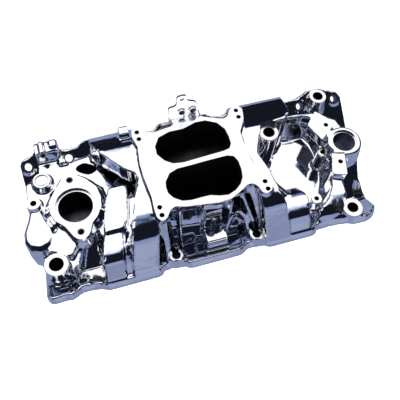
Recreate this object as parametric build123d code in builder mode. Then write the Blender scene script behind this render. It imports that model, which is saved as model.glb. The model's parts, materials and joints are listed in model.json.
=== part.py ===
from build123d import *
from math import cos, radians, sin, tan
import os

os.makedirs("parts", exist_ok=True)

# Row frame: origin at the centre of the carburettor bolt pattern on the pad face.
# +X to the rear (distributor), +Y to the far bank, +Z up.

# --- driving dimensions ---------------------------------------------------------
CARB_X = 142.75          # carburettor stud spacing, front to rear
CARB_Y = 131.0           # wide pattern, side to side
CARB_Y_SPREAD = 108.0    # narrow pattern, side to side
CARB_HOLE_R = 3.3
PAD_T = 13.0             # carburettor pad thickness
WALL = 4.0               # cast wall

BANK_DEG = 35.0          # head flange slope from horizontal
ROW_Y = 96.4             # head bolt row, sideways, on the flange's top face
ROW_Z = -70.6
FLANGE_T = 12.0
NEAR_X = -4.5            # bank centres, staggered as the cylinders are
FAR_X = 12.6
ROW_BOLTS = (-182.7, -57.0, 57.0, 182.7)
END_BOLT = 241.75        # only the far bank has bolts this far out
NEAR_ENDS = (-236.0, 235.0)
FAR_ENDS = (-240.0, 267.0)
HEAD_HOLE_R = 5.6
OUTER_V = 21.0           # flange edge outboard of the bolt row
INNER_V = -54.0          # flange edge inboard of the bolt row

FLOOR_TOP = -98.0
FLOOR_T = 7.0
RAIL_TOP = -95.0
RAIL_FOOT = -112.0
FRONT_X = -238.0
REAR_X = 247.0

THERMO = (-174.8, 1.0, -42.0)
THERMO_BORE_R = 23.5
THERMO_SEAT_R = 27.0
THERMO_BOLT_Y = 40.7
THERMO_HOLE_R = 4.0
THERMO_INSERT_R = 5.2

DIST = (221.9, 0.0, -41.5)
DIST_BORE_R = 16.5
DIST_RING_R = 25.0
DIST_DECK = (-56.0, -68.0)   # top and underside of the deck round the ring

PLUG_R = 11.0
PLUG_SPOTS = [(4, -20), (4, 20), (-208, -34), (-208, 34)]
BRACKET_BOLT_X = (-5.0, 11.0)
BRACKET_BOLT_Z = 8.0
BRACKET_BOLT_R = 3.0
COVER_SCREW_Z = (-27.5, -44.5)
COVER_SCREW_R = 2.0
RIVET_SPOTS = [(x, y) for x in (-46, 54) for y in (-38, 0, 38)]
RIVET_R = 2.0
PIPE_R = 5.0

TILT = radians(BANK_DEG)

# head bolts of each bank: x along the flange and distance outboard of the bolt row
NEAR_BOLTS = [(NEAR_X + o, 0) for o in ROW_BOLTS] + [(227.3, -32.0)]
FAR_BOLTS = [(FAR_X + o, 0) for o in (-END_BOLT,) + ROW_BOLTS + (END_BOLT,)]
BANKS = [(-1, NEAR_X, NEAR_ENDS, NEAR_BOLTS), (1, FAR_X, FAR_ENDS, FAR_BOLTS)]


# --- helpers --------------------------------------------------------------------
def flange_plane(side, x=0.0, v=0.0, lift=0.0):
    """Plane on a head flange's top face: local x runs rearward, z leaves the head."""
    y = side * (ROW_Y + v * cos(TILT) - lift * sin(TILT))
    z = ROW_Z + v * sin(TILT) + lift * cos(TILT)
    return Plane(origin=(x, y, z), x_dir=(1, 0, 0), z_dir=(0, -side * sin(TILT), cos(TILT)))


def station(point, direction, width, height, grow=0.0):
    """Rounded section across a runner; its width lies level and its height leans with the run."""
    level = Vector(-direction[1], direction[0], 0)
    if level.length < 0.2:
        level = Vector(1, 0, 0)
    plane = Plane(origin=point, x_dir=level, z_dir=direction)
    return Face.make_rect(width + 2 * grow, height + 2 * grow, plane)


def tube(stations, grow=0.0):
    """Ruled body through a row of stations. A passage (grow 0) runs on through the flange; a wall stops in it."""
    sections = [station(*s, grow=grow).outer_wire() for s in (stations if grow == 0 else stations[:-1])]
    return Solid.make_loft(sections, ruled=True)


def port(side, x, width, height, depth=0.0):
    """Station at a head port: point, direction and size, a given depth through the flange."""
    v = -12.0
    y = side * (ROW_Y + v * cos(TILT) + depth * sin(TILT))
    z = ROW_Z + v * sin(TILT) - depth * cos(TILT)
    return ((x, y, z), (0, side * sin(TILT), -cos(TILT)), width, height)


def crossing(side, end, x_port, z_top, width):
    """Outer runner: leaves the opposite plenum half by its end wall and bends across to its own bank."""
    s = side
    e = end
    return [
        ((e * 48, -s * 26, z_top - 17), (e, 0, 0), 34, 30),
        ((e * 82, -s * 20, z_top - 17), (e, s * 0.5, 0), 32, 30),
        ((e * 104 + 0.15 * (x_port - e * 104), s * 6, z_top - 18), (e * 0.45, s, 0), width + 4, 30),
        ((x_port - e * 5, s * 46, z_top - 22), (e * 0.1, s, -0.12), width, 34),
        ((x_port, s * 72, (z_top - 62) / 2 if s < 0 else -66), (0, s, -0.75), width, 40 if s < 0 else 34),
        port(s, x_port, width, 48, -6),
        port(s, x_port, width, 48, FLANGE_T - 1),
        port(s, x_port, width, 48, FLANGE_T + 1),
    ]


def direct(side, end, x_port, z_top, width):
    """Inner runner: leaves its own plenum half at the corner and drops straight to its bank."""
    s = side
    e = end
    return [
        ((e * 40, s * 30, z_top - 18), (e * 0.6, s * 0.8, 0), 32, 32),
        ((e * 62 + 0.3 * (x_port - e * 62), s * 50, z_top - 18), (e * 0.4, s, -0.1), width, 34),
        ((x_port, s * 70, -43), (0, s, -0.7), width, 40),
        port(s, x_port, width, 48, -6),
        port(s, x_port, width, 48, FLANGE_T - 1),
        port(s, x_port, width, 48, FLANGE_T + 1),
    ]


RUNNERS = [
    crossing(-1, -1, -145.0, -32.0, 19.0),
    direct(-1, -1, -105.0, -13.0, 26.0),
    direct(-1, 1, 78.0, -13.0, 26.0),
    crossing(-1, 1, 113.5, -32.0, 19.0),
    crossing(1, -1, -126.0, -58.0, 19.0),
    direct(1, -1, -87.0, -13.0, 26.0),
    direct(1, 1, 94.0, -13.0, 26.0),
    crossing(1, 1, 131.0, -58.0, 19.0),
]


def flange_outline(side, bank_x, ends, bolts):
    """One head flange: full width at the ports, pulled in between them, scalloped round the end bolts."""
    front, rear = ends
    with BuildSketch() as outline:
        with Locations(((front + rear) / 2, side * (OUTER_V - 12 + INNER_V) / 2)):
            Rectangle(rear - front - 20, OUTER_V - 12 - INNER_V)
        with Locations(((front + rear) / 2, side * (INNER_V - 22) / 2)):
            Rectangle(rear - front, -22 - INNER_V)
        for low, high in ((-154, -82), (-56, 34), (66, 138)):
            with Locations((bank_x + (low + high) / 2, 0)):
                Rectangle(high - low, 2 * OUTER_V)
        for x, v in bolts:
            with Locations((x, side * v)):
                Circle(13)
        for end in (-212.5, 212.5):
            with Locations((bank_x + end, side * 4)):
                Rectangle(34, 2 * OUTER_V - 8)
    return outline.sketch


def finish(builder, name):
    """Label a finished piece and write its STEP file."""
    builder.part.label = name
    export_step(builder.part, f"parts/{name}.step")


# --- the casting ----------------------------------------------------------------
FLANGES = []
for side, bank_x, ends, bolts in BANKS:
    outline = flange_outline(side, bank_x, ends, bolts)
    FLANGES.append(extrude(flange_plane(side) * outline, amount=-FLANGE_T))

# level tops that tie the pad to its runners, and the two domes over the far pairs: outline, top, thickness
FRONT_RIBBON = [(-74, 80), (-132, 80), (-128, 57), (-116, 38), (-100, 17), (-86, 8),
                (-86, -2), (-97, -24), (-108, -52), (-110, -62), (-76, -62)]
REAR_RIBBON = [(60, 60), (92, 60), (101, 35), (89, 15), (81, -5), (87, -35), (91, -76), (62, -76)]
FRONT_DOME = [(-76, 60), (-76, 80), (-98, 87), (-130, 89), (-141, 83), (-134, 58), (-118, 38)]
REAR_DOME = [(84, 47), (93, 82), (102, 89), (122, 90), (142, 86), (150, 72), (150, 57), (140, 40), (112, 34)]
TOPS = [(FRONT_RIBBON, -9, 13), (REAR_RIBBON, -9, 13), (FRONT_DOME, -14, 26), (REAR_DOME, -13, 30)]

# upright bosses: x, y, top, outside radius, hole radius, hole depth, foot
BOSSES = [
    (-211.7, 54.0, -46.0, 12.0, 9.0, 6.0, -98.0),       # core plug beside the thermostat
    (-228.0, 20.0, -44.0, 10.0, 4.25, 18.0, -98.0),     # temperature sender
    (-213.5, -77.0, -40.0, 15.5, 9.5, 26.0, -84.0),     # heater hose port
    (153.3, -69.7, -60.0, 8.0, 3.5, 14.0, -90.0),       # coil bracket
    (196.0, -98.0, -57.0, 14.0, 8.0, 16.0, -74.0),      # near rear vacuum port
    (222.0, 95.0, -52.0, 12.5, 8.0, 16.0, -74.0),       # far rear port
    (111.0, 30.0, -19.0, 14.0, 8.5, 20.0, -80.0),       # vacuum port over the far rear runner
    (192.2, 1.0, -60.0, 8.5, 3.75, 14.0, -98.0),        # distributor clamp post
    (207.4, 34.6, -42.0, 7.0, 2.6, 12.0, -60.0),        # coil pad, far
    (202.4, -30.8, -42.0, 7.0, 2.6, 12.0, -60.0),       # coil pad, near
]

with BuildPart() as manifold_casting:
    # carburettor pad: straight front edge, lobed corners, scalloped sides
    with BuildSketch(Plane.XY.offset(-PAD_T)):
        with Locations((-6.5, 0)):
            Rectangle(143, 108)
        with Locations((-5, -34)):
            Rectangle(88, 60)
        with Locations((-2, 34)):
            Rectangle(84, 62)
        with GridLocations(CARB_X, CARB_Y - 6, 2, 2):
            Circle(11.5)
    extrude(amount=PAD_T)
    # plenum body down to the valley floor
    with Locations((-2, 0, (FLOOR_TOP - PAD_T) / 2)):
        Box(112, 112, -FLOOR_TOP - PAD_T)
    for flange in FLANGES:
        add(flange)
    # raised washer faces round the head bolts
    for side, bank_x, ends, bolts in BANKS:
        for x, v in bolts:
            with BuildSketch(flange_plane(side, x, v)):
                Circle(9.5)
            extrude(amount=2)
    # valley floor and the two end rails
    with Locations(((FRONT_X + REAR_X) / 2, 0, FLOOR_TOP - FLOOR_T / 2)):
        Box(REAR_X - FRONT_X, 112, FLOOR_T)
    for x in (FRONT_X + 9, REAR_X - 11):
        with Locations((x, 0, (RAIL_TOP + RAIL_FOOT) / 2)):
            Box(20, 104, RAIL_TOP - RAIL_FOOT)
    # runners
    for stations in RUNNERS:
        add(tube(stations, grow=WALL))
    for outline, top, thick in TOPS:
        with BuildSketch(Plane.XY.offset(top)):
            with BuildLine():
                Polyline(*outline, close=True)
            make_face()
        extrude(amount=-thick)
    # exhaust crossover, bank to bank below the plenum, with its stepped near face
    with Locations((4, 0, -83)):
        Box(64, 148, 30)
    with Locations((4, 0, -80)):
        Box(60, 160, 24)
    with Locations((-4, -64, -44)):
        Box(24, 18, 48)
    with Locations((-3, -81, -64)):
        Box(27, 18, 28)
    # water crossover and thermostat tower
    with Locations((-208, 0, -81)):
        Box(40, 150, 34)
    with Locations((THERMO[0], THERMO[1], (THERMO[2] + FLOOR_TOP) / 2)):
        Cylinder(30, THERMO[2] - FLOOR_TOP)
    with BuildSketch(Plane.XY.offset(THERMO[2] - 12)):
        with Locations((THERMO[0], THERMO[1])):
            Circle(34.5)
            Rectangle(30, 2 * THERMO_BOLT_Y)
            with Locations((0, THERMO_BOLT_Y), (0, -THERMO_BOLT_Y)):
                Circle(11)
    extrude(amount=12)
    # distributor tower and the web that ties it to the near rear port
    with Locations((DIST[0], DIST[1], (DIST[2] + FLOOR_TOP) / 2)):
        Cylinder(DIST_RING_R, DIST[2] - FLOOR_TOP)
    with Locations((221, 11, (DIST_DECK[0] + FLOOR_TOP) / 2)):
        Box(50, 82, DIST_DECK[0] - FLOOR_TOP)
    with BuildSketch(Plane.XY.offset(FLOOR_TOP)):
        with BuildLine():
            Polyline((196, -24), (208, -26), (206, -90), (186, -94), (168, -80), close=True)
        make_face()
    extrude(amount=26)
    # the two coil pads that flank the distributor ring
    for x, y, turn in ((206, 34, -48), (203, -31, 8)):
        with Locations(Location((x, y, (FLOOR_TOP - 42) / 2), (0, 0, turn))):
            Box(16, 27, -FLOOR_TOP - 42)
    # round bosses
    for x, y, top, radius, hole, depth, foot in BOSSES:
        with Locations((x, y, (top + foot) / 2)):
            Cylinder(radius, top - foot)
    # lug that carries the cable bracket, and the square vacuum boss by the pad's front far corner
    with Locations((0, 71, -12)):
        Box(44, 32, 24)
    with Locations((4, 87, 0)):
        Box(30, 8, 26)
    with Locations((-88, 79, -21)):
        Box(13, 12, 26)
    # pear-shaped blank behind the sender boss
    with BuildSketch(Plane.XY.offset(FLOOR_TOP)):
        with Locations((-227, -26)):
            Circle(14)
        with Locations((-227, -4)):
            Rectangle(16, 34)
    extrude(amount=42)
    # block over the far front flange, between its two end bolts
    with Locations((-199, 96, -66)):
        Box(32, 20, 24)

    # --- passages and bores ---
    for stations in RUNNERS:
        add(tube(stations), mode=Mode.SUBTRACT)
    # plenum halves, parted by a bar
    for side, depth in ((-1, 74), (1, 48)):
        with BuildSketch(Plane.XY):
            with Locations((-3, side * 30)):
                RectangleRounded(100, 52, 14)
        extrude(amount=-depth, mode=Mode.SUBTRACT)
    # exhaust crossover passage
    with Locations((4, 0, -88)):
        Box(52, 150, 14, mode=Mode.SUBTRACT)
    # water passages
    with Locations((-208, 0, -82)):
        Box(30, 146, 24, mode=Mode.SUBTRACT)
    with Locations((-190, 1, -82)):
        Box(30, 36, 24, mode=Mode.SUBTRACT)
    for side, bank_x, ends, bolts in BANKS:
        with BuildSketch(flange_plane(side, bank_x - 212.5, -16, -3)):
            RectangleRounded(24, 32, 8)
        extrude(amount=-FLANGE_T - 3, mode=Mode.SUBTRACT)
        with BuildSketch(flange_plane(side, 4, -22, -4)):
            RectangleRounded(44, 20, 6)
        extrude(amount=-FLANGE_T, mode=Mode.SUBTRACT)
        for x, v in bolts:
            with BuildSketch(flange_plane(side, x, v, 30)):
                Circle(HEAD_HOLE_R)
            extrude(amount=-60, mode=Mode.SUBTRACT)
            with BuildSketch(flange_plane(side, x, v, 2)):
                Circle(9.5)
            extrude(amount=26, mode=Mode.SUBTRACT)
    for radius, depth in ((THERMO_SEAT_R, 4), (THERMO_BORE_R, 42)):
        with Locations((THERMO[0], THERMO[1], THERMO[2] - depth / 2)):
            Cylinder(radius, depth, mode=Mode.SUBTRACT)
    for y in (-THERMO_BOLT_Y, THERMO_BOLT_Y):
        with Locations((THERMO[0], THERMO[1] + y, THERMO[2] - 6)):
            Cylinder(THERMO_INSERT_R, 12, mode=Mode.SUBTRACT)
    # nothing hangs below the gasket faces, and a fitting can reach its seat over the runner
    for side in (-1, 1):
        with BuildSketch(flange_plane(side, 0, -10, -FLANGE_T)):
            Rectangle(600, 92)
        extrude(amount=-20, mode=Mode.SUBTRACT)
    with Locations((111, 30, -4)):
        Cylinder(14.5, 30, mode=Mode.SUBTRACT)
    with Locations((DIST[0], DIST[1], -60)):
        Cylinder(DIST_BORE_R, 50, mode=Mode.SUBTRACT)
    with Locations((221, 11, DIST_DECK[1] - 25)):
        Box(36, 70, 50, mode=Mode.SUBTRACT)
    for x, y, top, radius, hole, depth, foot in BOSSES:
        with Locations((x, y, top - depth / 2)):
            Cylinder(hole, depth, mode=Mode.SUBTRACT)
    # carburettor stud holes: a wide and a narrow pattern, two holes at each corner
    for spacing in (CARB_Y, CARB_Y_SPREAD):
        with Locations((0, 0, -8)):
            with GridLocations(CARB_X, spacing, 2, 2):
                Cylinder(CARB_HOLE_R, 16, mode=Mode.SUBTRACT)
    # core holes on the underside, closed by cup plugs
    for x, y in PLUG_SPOTS:
        with Locations((x, y, FLOOR_TOP - FLOOR_T + 5)):
            Cylinder(PLUG_R, 10, mode=Mode.SUBTRACT)
    # holes for the bracket bolts, cover screws, shield rivets and the vacuum plug
    for x in BRACKET_BOLT_X:
        with Locations(Location((x, 85, BRACKET_BOLT_Z), (90, 0, 0))):
            Cylinder(BRACKET_BOLT_R, 12, mode=Mode.SUBTRACT)
    for z in COVER_SCREW_Z:
        with Locations(Location((-4, -67, z), (90, 0, 0))):
            Cylinder(COVER_SCREW_R, 12, mode=Mode.SUBTRACT)
    for x, y in RIVET_SPOTS:
        with Locations((x, y, FLOOR_TOP - FLOOR_T + 2)):
            Cylinder(RIVET_R, 4, mode=Mode.SUBTRACT)
    with Locations((-88, 79, -8 - 6)):
        Cylinder(PIPE_R, 12, mode=Mode.SUBTRACT)

finish(manifold_casting, "manifold_casting")

# --- cable bracket on the far edge of the pad --------------------------------------
PLATE_Y = 83.0           # far face of the plate, against the lug
PLATE_T = 3.0
with BuildPart() as cable_bracket:
    with BuildSketch(Plane.XZ.offset(-PLATE_Y)):
        with BuildLine():
            Polyline((-23, 0), (-23, 18), (-11, 18), (-11, 38), (3, 38), (3, 24), (20, 15), (20, 0), close=True)
        make_face()
    extrude(amount=PLATE_T)
    with Locations((-13, PLATE_Y - PLATE_T - 3, 1)):
        Box(20, 6, 2)
    for x in BRACKET_BOLT_X:
        with Locations(Location((x, 82, BRACKET_BOLT_Z), (90, 0, 0))):
            Cylinder(BRACKET_BOLT_R + 0.4, 10, mode=Mode.SUBTRACT)
    with Locations(Location((-4, 82, 31), (90, 0, 0))):
        Cylinder(3, 10, mode=Mode.SUBTRACT)
finish(cable_bracket, "cable_bracket")

for name, x in zip(("front", "rear"), BRACKET_BOLT_X):
    near_face = PLATE_Y - PLATE_T
    with BuildPart() as washer:
        with Locations(Location((x, near_face - 0.6, BRACKET_BOLT_Z), (90, 0, 0))):
            Cylinder(5.6, 1.2)
            Cylinder(BRACKET_BOLT_R + 0.2, 2, mode=Mode.SUBTRACT)
    finish(washer, f"bracket_washer_{name}")
    with BuildPart() as bolt:
        with BuildSketch(Plane.XZ.offset(-near_face + 1.2)):
            with Locations((x, BRACKET_BOLT_Z)):
                RegularPolygon(5.0, 6)
        extrude(amount=4)
        with Locations(Location((x, near_face - 1.2 + 5.5, BRACKET_BOLT_Z), (90, 0, 0))):
            Cylinder(BRACKET_BOLT_R - 0.05, 11)
    finish(bolt, f"bracket_bolt_{name}")

# --- core plug beside the thermostat flange ----------------------------------------
with BuildPart() as core_plug:
    with Locations((-211.7, 54, -46 - 2.5)):
        Cylinder(8.95, 4)
finish(core_plug, "core_plug")

# --- choke well cover on the near step ---------------------------------------------
for name, depth, thick in (("choke_gasket", 0.0, 0.8), ("choke_cover", 0.8, 2.4)):
    with BuildPart() as sheet:
        with BuildSketch(Plane.XZ.offset(73 + depth)):
            with Locations((-4, -36)):
                RectangleRounded(22, 24, 3)
                with Locations((0, 8.5), (0, -8.5)):
                    Circle(COVER_SCREW_R + 0.2, mode=Mode.SUBTRACT)
        extrude(amount=thick)
    finish(sheet, name)
for name, z in zip(("upper", "lower"), COVER_SCREW_Z):
    with BuildPart() as screw:
        with Locations(Location((-4, -73 - 3.2 - 1.2, z), (90, 0, 0))):
            Cylinder(3.6, 2.4)
        with Locations(Location((-4, -73 - 3.2 + 6, z), (90, 0, 0))):
            Cylinder(COVER_SCREW_R - 0.05, 12)
    finish(screw, f"choke_screw_{name}")

# --- splash shield under the exhaust crossover, with its drive rivets ---------------
SHIELD_TOP = FLOOR_TOP - FLOOR_T
with BuildPart() as splash_shield:
    with Locations((4, 0, SHIELD_TOP - 0.6)):
        Box(110, 92, 1.2)
    with Locations((4, 0, SHIELD_TOP - 3.0)):
        Box(92, 72, 6)
        Box(89.6, 69.6, 3.6, mode=Mode.SUBTRACT)
    with Locations((4, 0, SHIELD_TOP - 0.6)):
        Box(89.6, 69.6, 2.4, mode=Mode.SUBTRACT)
    for x, y in RIVET_SPOTS:
        with Locations((x, y, SHIELD_TOP)):
            Cylinder(RIVET_R + 0.2, 6, mode=Mode.SUBTRACT)
finish(splash_shield, "splash_shield")
with BuildPart() as shield_rivets:
    for x, y in RIVET_SPOTS:
        with Locations((x, y, SHIELD_TOP - 1.2 + 2.4)):
            Cylinder(RIVET_R - 0.05, 4.8)
        with Locations((x, y, SHIELD_TOP - 1.2 - 0.9)):
            Cylinder(3.4, 1.8)
finish(shield_rivets, "shield_rivets")

# --- cup plugs in the core holes -----------------------------------------------------
for name, (x, y) in zip(("crossover_plug_near", "crossover_plug_far", "water_plug_near", "water_plug_far"), PLUG_SPOTS):
    with BuildPart() as plug:
        with Locations((x, y, SHIELD_TOP + 3.0)):
            Cylinder(PLUG_R - 0.05, 5)
        with Locations((x, y, SHIELD_TOP + 1.5)):
            Cylinder(PLUG_R - 1.8, 3.4, mode=Mode.SUBTRACT)
    finish(plug, name)

# --- pipe plug in the square vacuum boss ----------------------------------------------
with BuildPart() as vacuum_plug:
    with Locations((-88, 79, -8 - 3)):
        Cylinder(PIPE_R - 0.05, 8)
    with BuildSketch(Plane.XY.offset(-7)):
        with Locations((-88, 79)):
            RegularPolygon(2.8, 6)
    extrude(amount=-4, mode=Mode.SUBTRACT)
finish(vacuum_plug, "vacuum_plug")

# --- steel thread inserts in the thermostat bolt holes ---------------------------------
for name, y in (("near", -THERMO_BOLT_Y), ("far", THERMO_BOLT_Y)):
    with BuildPart() as insert:
        with Locations((THERMO[0], THERMO[1] + y, THERMO[2] - 6)):
            Cylinder(THERMO_INSERT_R - 0.05, 12)
            Cylinder(THERMO_HOLE_R, 14, mode=Mode.SUBTRACT)
    finish(insert, f"thermostat_insert_{name}")
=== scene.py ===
import json
import math

import bmesh
import bpy
from mathutils import Matrix, Vector


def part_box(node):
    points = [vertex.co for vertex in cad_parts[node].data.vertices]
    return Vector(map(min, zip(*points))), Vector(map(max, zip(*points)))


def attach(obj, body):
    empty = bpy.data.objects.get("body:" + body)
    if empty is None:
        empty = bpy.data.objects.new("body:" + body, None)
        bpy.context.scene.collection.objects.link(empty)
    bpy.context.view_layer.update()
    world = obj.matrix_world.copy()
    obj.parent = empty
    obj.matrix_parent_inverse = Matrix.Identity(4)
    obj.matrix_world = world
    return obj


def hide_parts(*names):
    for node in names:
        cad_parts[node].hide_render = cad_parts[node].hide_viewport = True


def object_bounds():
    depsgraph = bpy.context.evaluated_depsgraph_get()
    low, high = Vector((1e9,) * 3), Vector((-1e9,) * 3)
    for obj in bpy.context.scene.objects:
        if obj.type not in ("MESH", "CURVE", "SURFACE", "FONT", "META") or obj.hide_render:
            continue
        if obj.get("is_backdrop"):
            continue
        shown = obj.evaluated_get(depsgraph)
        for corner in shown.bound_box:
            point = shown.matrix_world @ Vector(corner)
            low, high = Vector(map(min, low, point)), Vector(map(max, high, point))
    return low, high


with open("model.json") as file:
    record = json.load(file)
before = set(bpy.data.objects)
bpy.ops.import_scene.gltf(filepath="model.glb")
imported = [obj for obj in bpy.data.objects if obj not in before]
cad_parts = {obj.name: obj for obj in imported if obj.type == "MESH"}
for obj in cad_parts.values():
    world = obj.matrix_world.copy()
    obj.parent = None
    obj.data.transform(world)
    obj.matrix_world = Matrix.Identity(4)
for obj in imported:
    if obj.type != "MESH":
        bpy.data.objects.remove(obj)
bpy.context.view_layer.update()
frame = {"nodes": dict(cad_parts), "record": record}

nodes = frame["nodes"]
mounts = {m["name"]: m for m in frame["record"]["mounts"]}
scene = bpy.context.scene
mm = 0.001

# ---- camera ----------------------------------------------------------------------
# It stands above the near front quarter and looks down across the carburettor pad.
# The lens is a short telephoto and the horizon leans a little, as a hand-held view does.
eye = Vector((-0.14383, -0.37372, 0.62608))
aim = Vector((-0.01398, -0.04493, -0.02546))
camera_lean = math.radians(5.184)
camera_data = bpy.data.cameras.new("camera")
camera_data.lens = 50.12
camera_data.sensor_width = 36
camera = bpy.data.objects.new("camera", camera_data)
scene.collection.objects.link(camera)
level_turn = (eye - aim).to_track_quat("Z", "Y")
camera.rotation_mode = "QUATERNION"
camera.rotation_quaternion = level_turn @ Matrix.Rotation(camera_lean, 4, "Z").to_quaternion()
camera.location = eye
scene.camera = camera

# ---- manifold casting ----------------------------------------------------------------
# One sand casting in aluminium. It is fettled and blended by hand, buffed to a mirror all over the top,
# then machined flat on the pad, the thermostat flange and the bosses. The passages stay rough as cast,
# and their near-black colour is painted shade.
bank_slope = math.radians(35)
bolt_row_y, bolt_row_z = 96.4, -70.6
flange_thick = 12.0
floor_z, floor_under = -98.0, -105.0
ports = [(-1, -145.0, 19), (-1, 113.5, 19), (1, -126.0, 19), (1, 131.0, 19),
         (-1, -105.0, 26), (-1, 78.0, 26), (1, -87.0, 26), (1, 94.0, 26)]
pad_outline = [(-77.6, 71.9), (-71.4, 74.5), (-63.2, 68), (-57.2, 59.5), (-48.8, 59.5), (-20.8, 63.4),
               (22.5, 68), (40, 60), (50.2, 56.5), (57.5, 60), (64.1, 70.8), (75.6, 74.1), (81.1, 66.2),
               (77.4, 49.2), (65.5, 29.6), (64.7, 12.7), (64.9, -7.4), (66, -27.7), (72, -46),
               (79.2, -62.4), (75.9, -69.2), (68.1, -71.6), (62.4, -68.5), (60.5, -58.8), (55.7, -52.8),
               (47.7, -52.2), (33.8, -60.6), (20.2, -66.8), (2.8, -67.5), (-22, -63.7), (-41, -61.4),
               (-51.7, -57.7), (-59.2, -61.4), (-65.7, -71.1), (-72.9, -74.1), (-78.2, -67.6),
               (-78.7, -54.5), (-77.5, -37.1), (-80, -5.9), (-80, 16.1), (-76, 42.7), (-80, 58.9)]
plenum_far = [(-53.6, 36.6), (-45.6, 49.6), (-28.7, 55.2), (-9, 55), (10.2, 61), (24.4, 60.5), (39, 52.5),
              (46.6, 40), (48, 26), (47.2, 14.4), (42.8, 7.6), (34, 5.5), (5.4, 4), (-24.1, 2.4),
              (-37.2, 4.4), (-47.3, 12), (-54.3, 24)]
plenum_near = [(-56, -28), (-54.3, -20), (-46.2, -9), (-34.2, -4.5), (-17.8, -4.2), (10.2, -3), (36, -2.5),
               (44.4, -6), (47.7, -15), (47.5, -28), (45.2, -40), (39, -49.5), (29.8, -56.4), (19.1, -60.3),
               (7.5, -58.6), (-3.3, -54.8), (-12.6, -54.5), (-29.9, -54.9), (-41, -52.8), (-50.6, -45.7),
               (-55.6, -37)]
thermostat_outline = [(-173.8, 51.3), (-179.5, 50.8), (-184.4, 47.5), (-199.5, 27.4), (-208.3, 14.1),
                      (-209, -2.6), (-204.9, -14.4), (-194, -25.9), (-185.2, -44.1), (-180.7, -49),
                      (-174.7, -51.2), (-168, -49.2), (-163, -43.6), (-157.1, -30), (-148.8, -22.6),
                      (-141, -9.1), (-138.7, 5.9), (-141.5, 23), (-154.7, 40), (-164.5, 47.8)]
front_deck = [(-236, 60), (-216, 68), (-213, 92), (-182, 92), (-178, 80), (-146, 84), (-141, 88),
              (-134, 60), (-118, 30), (-104, 6), (-104, -10), (-122, -44), (-146, -52), (-158, -32),
              (-172, -30), (-196, -22), (-208, -4), (-213, 12), (-238, 14)]
# round bosses: plan centre, top, rim radius, foot radius, foot level
bosses = [(-211.7, 54.0, -46.0, 12.0, 14.5, -60), (-228.0, 20.0, -44.0, 9.5, 11.0, -60),
          (-213.5, -77.0, -40.0, 15.5, 16.5, -92), (153.3, -69.7, -60.0, 8.0, 10.0, -92),
          (196.0, -98.0, -57.0, 14.0, 15.5, -78), (222.0, 95.0, -52.0, 13.0, 15.0, -80),
          (111.0, 30.0, -19.0, 14.0, 13.0, -96), (192.2, 1.0, -60.0, 7.5, 9.0, -96)]
thermostat_at, distributor_at = (-174.8, 1), (221.9, 0)
near_flange = [(-236, -54), (-236, 8), (-232, 17), (-226, 20), (-212, 18), (-204, 21), (-196, 15),
               (-190, 11), (-176, 11), (-165, 14), (-159, 20), (-154, 21), (-90, 21), (-85, 19), (-80, 10),
               (-70, 9), (-61.5, 12), (-53, 13), (-49, 19), (-44, 21), (24, 21), (30, 17), (38, 10),
               (52.5, 12), (60, 14), (64, 20), (69, 21), (129, 21), (134, 18), (140, 10), (160, 9),
               (178, 12), (186, 15), (191, 20), (210, 21), (222, 16), (235, 2), (235, -54)]
far_flange = [(-240, -54), (-240, 4), (-236, 11), (-229, 13.5), (-221, 15), (-214, 21), (-192, 21),
              (-184, 16), (-170, 13), (-156, 13), (-148, 19), (-142, 21), (-68, 21), (-60, 16), (-44, 12),
              (-36, 14), (-30, 21), (44, 21), (52, 15), (69.6, 12), (78, 15), (84, 21), (152, 21),
              (160, 16), (178, 11), (195, 13), (207, 18), (213, 21), (234, 21), (243, 16), (254, 13.5),
              (262, 9), (267, 0), (267, -54)]


def on_flange(side, x, v, lift):
    """Point on a head flange: x along the engine, v outboard of the bolt row, lift off its top face."""
    return (x, side * (bolt_row_y + v * math.cos(bank_slope) - lift * math.sin(bank_slope)),
            bolt_row_z + v * math.sin(bank_slope) + lift * math.cos(bank_slope))


def add_loft(shape, rings):
    """A closed body through rings of points in millimetres, each with the same number of points."""
    rows = [[shape.verts.new(Vector(point) * mm) for point in ring] for ring in rings]
    for first, second in zip(rows, rows[1:]):
        for step in range(len(first)):
            after = (step + 1) % len(first)
            shape.faces.new((first[step], first[after], second[after], second[step]))
    shape.faces.new(rows[0][::-1])
    shape.faces.new(rows[-1])


def add_prism(shape, outline, top, bottom):
    """A block with upright walls over a plan outline."""
    add_loft(shape, [[(x, y, bottom) for x, y in outline], [(x, y, top) for x, y in outline]])


def add_round(shape, place, axis, radius, length, foot_radius=None, sides=48):
    """A round boss or bore that runs down its axis from the place; it may flare towards its foot."""
    axis = Vector(axis).normalized()
    across = axis.orthogonal().normalized()
    other = axis.cross(across)
    rings = []
    for down, size in ((0, radius), (length, foot_radius or radius)):
        rings.append([Vector(place) - axis * down + (across * math.cos(turn) + other * math.sin(turn)) * size
                      for turn in (2 * math.pi * step / sides for step in range(sides))])
    add_loft(shape, rings)


def add_ridge(shape, stations):
    """Metal that runs from bank to bank: at each y its left and right edge, its crown and its foot."""
    add_loft(shape, [[(left, y, foot), (right, y, foot), (right, y, crown), (left, y, crown)]
                     for y, left, right, crown, foot in stations])


def flange_foot(y):
    """Level a little way inside the flange or the floor, under metal that stands on it."""
    return max(floor_z - 3, bolt_row_z + (abs(y) - bolt_row_y) * math.tan(bank_slope) - 7)


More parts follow.
